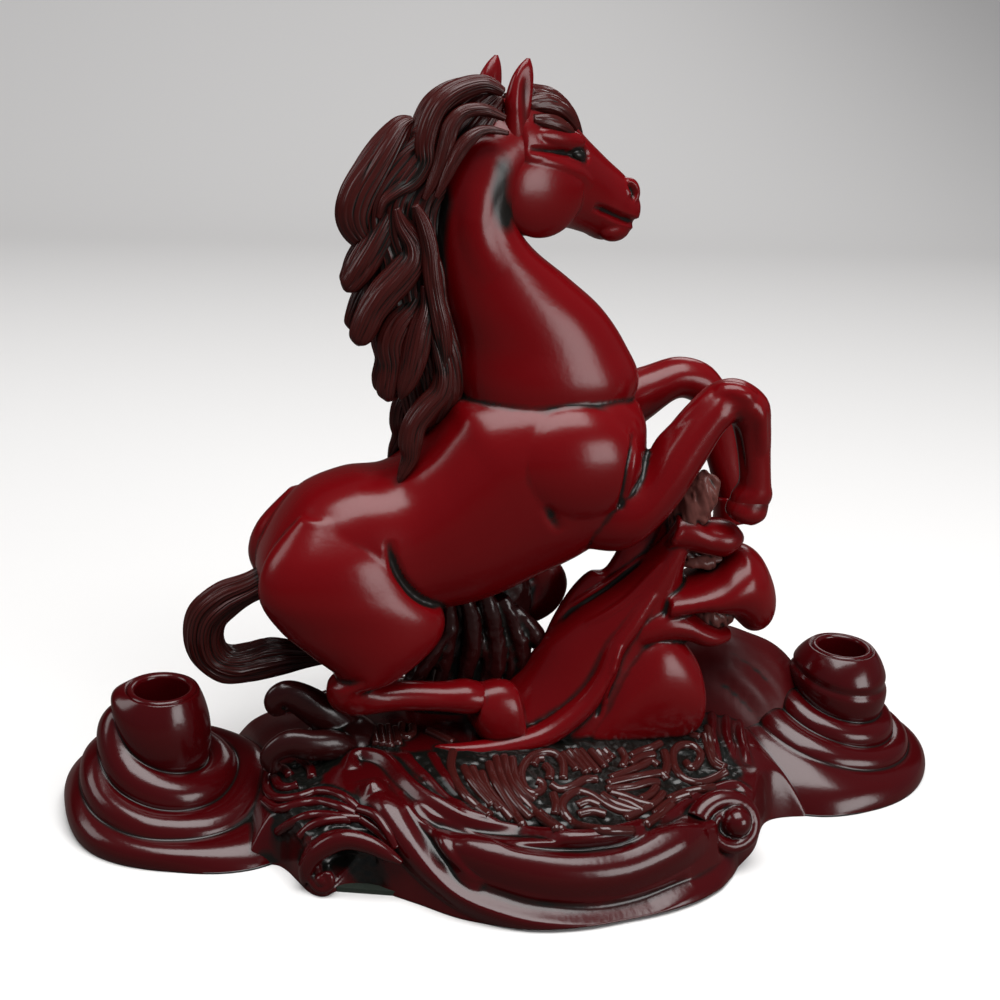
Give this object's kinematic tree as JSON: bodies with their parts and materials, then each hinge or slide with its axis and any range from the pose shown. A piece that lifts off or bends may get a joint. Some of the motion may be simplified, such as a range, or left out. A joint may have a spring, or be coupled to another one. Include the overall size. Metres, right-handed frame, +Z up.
{
  "type": "horse pen holder",
  "caption": "Desk pen holder with a rearing horse on a carved wave base and a round pen hole in the mound at each end.",
  "frame": {"origin": "on the table under the base, midway between the two pen bores", "axes": "+X from the left pen hole to the right one, the way the horse faces; +Y from the front of the base to its back; +Z up"},
  "size_m": [0.1941, 0.0867, 0.1515],
  "materials": {
    "red_lacquer": "glossy dark red lacquer",
    "washed_lacquer": "dark red lacquer with a black wash in the recesses",
    "hair_lacquer": "brown-black washed lacquer, finely grooved",
    "felt": "matte felt",
    "bare_wood": "bare dowel"
  },
  "bodies": {
    "root": {"felt_pad": "felt", "base_plinth": "red_lacquer", "foam_bank": "washed_lacquer", "left_pen_mound": "red_lacquer", "right_pen_mound": "red_lacquer", "front_scroll": "red_lacquer", "front_volute": "red_lacquer", "leaf_hook": "red_lacquer", "leaf_frond_1": "red_lacquer", "leaf_frond_2": "red_lacquer", "leaf_frond_3": "red_lacquer", "left_wave_curl": "red_lacquer", "foam_ripple_1": "red_lacquer", "foam_ripple_2": "red_lacquer", "foam_ripple_3": "red_lacquer", "right_swell": "red_lacquer", "wave_support": "red_lacquer", "wave_dowel": "bare_wood", "wave_curl_upper": "red_lacquer", "wave_curl_lower": "red_lacquer", "foam_cap": "washed_lacquer", "rock_pillar": "washed_lacquer", "rear_wave_curl": "red_lacquer", "horse_trunk": "red_lacquer", "horse_neck": "red_lacquer", "horse_head": "red_lacquer", "near_ear": "red_lacquer", "far_ear": "red_lacquer", "forelock": "hair_lacquer", "mane_crest": "hair_lacquer", "mane_lock_1": "hair_lacquer", "mane_lock_2": "hair_lacquer", "mane_lock_3": "hair_lacquer", "mane_lock_4": "hair_lacquer", "mane_lock_5": "hair_lacquer", "near_foreleg": "red_lacquer", "near_fore_hoof": "washed_lacquer", "far_foreleg": "red_lacquer", "far_fore_hoof": "washed_lacquer", "near_hind_leg": "red_lacquer", "near_hind_hoof": "washed_lacquer", "far_hind_leg": "red_lacquer", "far_hind_hoof": "washed_lacquer", "tail": "hair_lacquer"}
  },
  "joints": []
}
